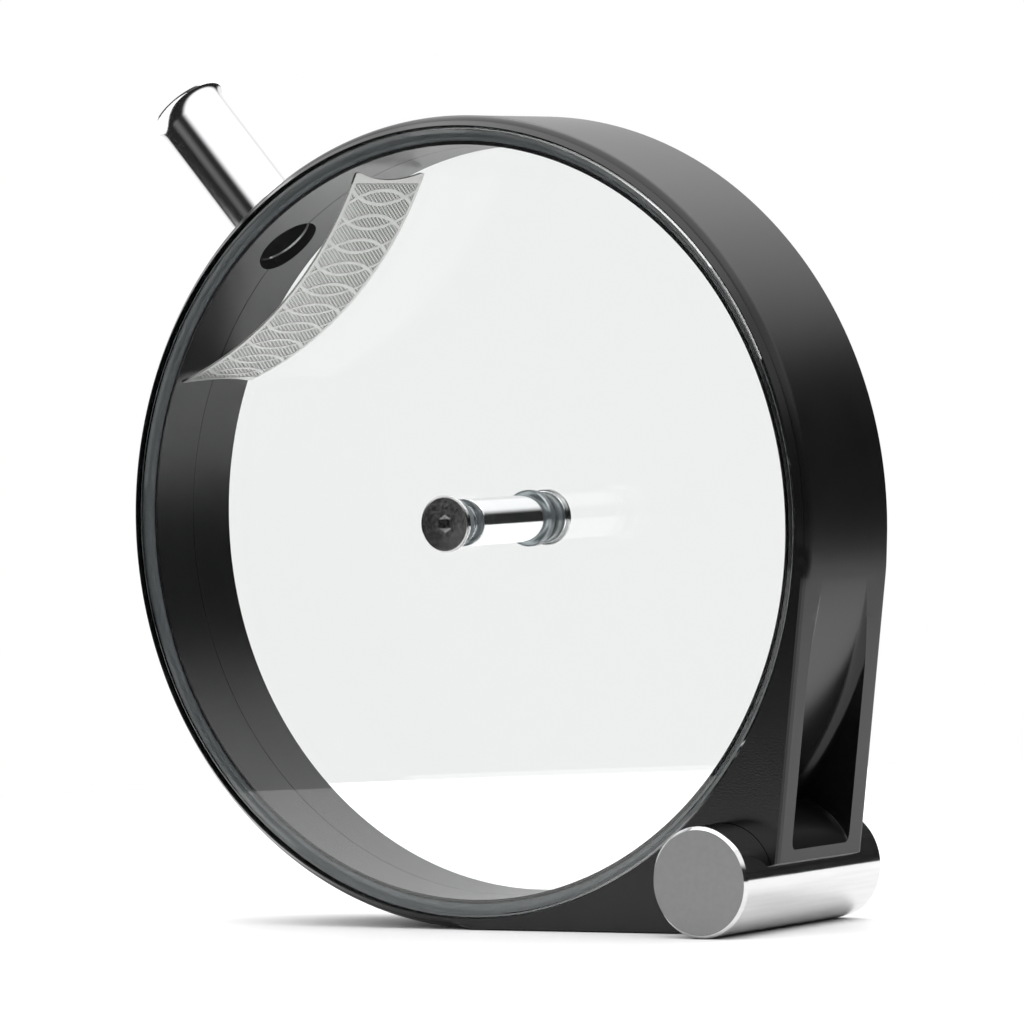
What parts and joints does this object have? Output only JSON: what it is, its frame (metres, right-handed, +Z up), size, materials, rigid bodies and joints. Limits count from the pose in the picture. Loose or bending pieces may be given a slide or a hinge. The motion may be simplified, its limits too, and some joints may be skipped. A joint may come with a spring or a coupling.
{
  "type": "infusion flask",
  "caption": "Round flat infusion flask that stands on edge: black ring with a glass pane on each side, steel spout with arched filter, and a steel bar foot.",
  "frame": {"origin": "under the middle of the ring, on the surface the flask stands on", "axes": "+Z up, Y along the axis of the ring with the screwed front pane towards -Y, spout towards -X, foot bar towards +X"},
  "size_m": [0.156, 0.0494, 0.1659],
  "materials": {
    "frame_plastic": "fine-grained black moulding",
    "pane_glass": "clear polished glass",
    "silicone": "translucent pale silicone",
    "post_steel": "mirror-polished steel",
    "screw_steel": "dark turned face with a bright rim",
    "spout_steel": "mirror-polished steel",
    "filter_steel": "finely perforated sheet with overlapping plain rings",
    "foot_steel": "polished round, brushed end faces",
    "stopper_silicone": "smoke-grey silicone",
    "fastener_steel": "plain steel"
  },
  "bodies": {
    "vessel": {"frame": "frame_plastic", "rear_pane": "pane_glass", "front_seal": "silicone", "rear_seal": "silicone", "front_post_gasket": "silicone", "rear_post_gasket": "silicone", "rear_head_gasket": "silicone", "rear_washer": "post_steel", "rear_screw": "screw_steel", "centre_post": "post_steel", "filter": "filter_steel", "spout_tube": "spout_steel", "spout_seal": "silicone", "foot_bar": "foot_steel", "foot_screw_front": "fastener_steel", "foot_screw_rear": "fastener_steel"},
    "front_cover": {"front_pane": "pane_glass", "front_head_gasket": "silicone"},
    "screw_seat": {"front_washer": "post_steel"},
    "clamp_screw": {"front_screw": "screw_steel"},
    "stopper": {"stopper_plug": "stopper_silicone", "stopper_knob": "spout_steel"}
  },
  "joints": [
    {"name": "front_pane_lift", "type": "slide", "parent": "vessel", "child": "front_cover", "axis": [0, -1, 0], "range_m": [0, 0.04]},
    {"name": "front_screw_travel", "type": "slide", "parent": "front_cover", "child": "screw_seat", "axis": [0, -1, 0], "range_m": [0, 0.004]},
    {"name": "front_screw_turn", "type": "hinge", "parent": "screw_seat", "child": "clamp_screw", "pos_m": [0, -0.0192, 0.078], "axis": [0, -1, 0], "range_deg": [0, 1800]},
    {"name": "stopper_pull", "type": "slide", "parent": "vessel", "child": "stopper", "axis": [-0.6518, 0, 0.7584], "range_m": [0, 0.025]}
  ],
  "couplings": [
    {"joint": "front_screw_turn", "follows": "front_screw_travel", "rad_per_m": 7853.9}
  ]
}
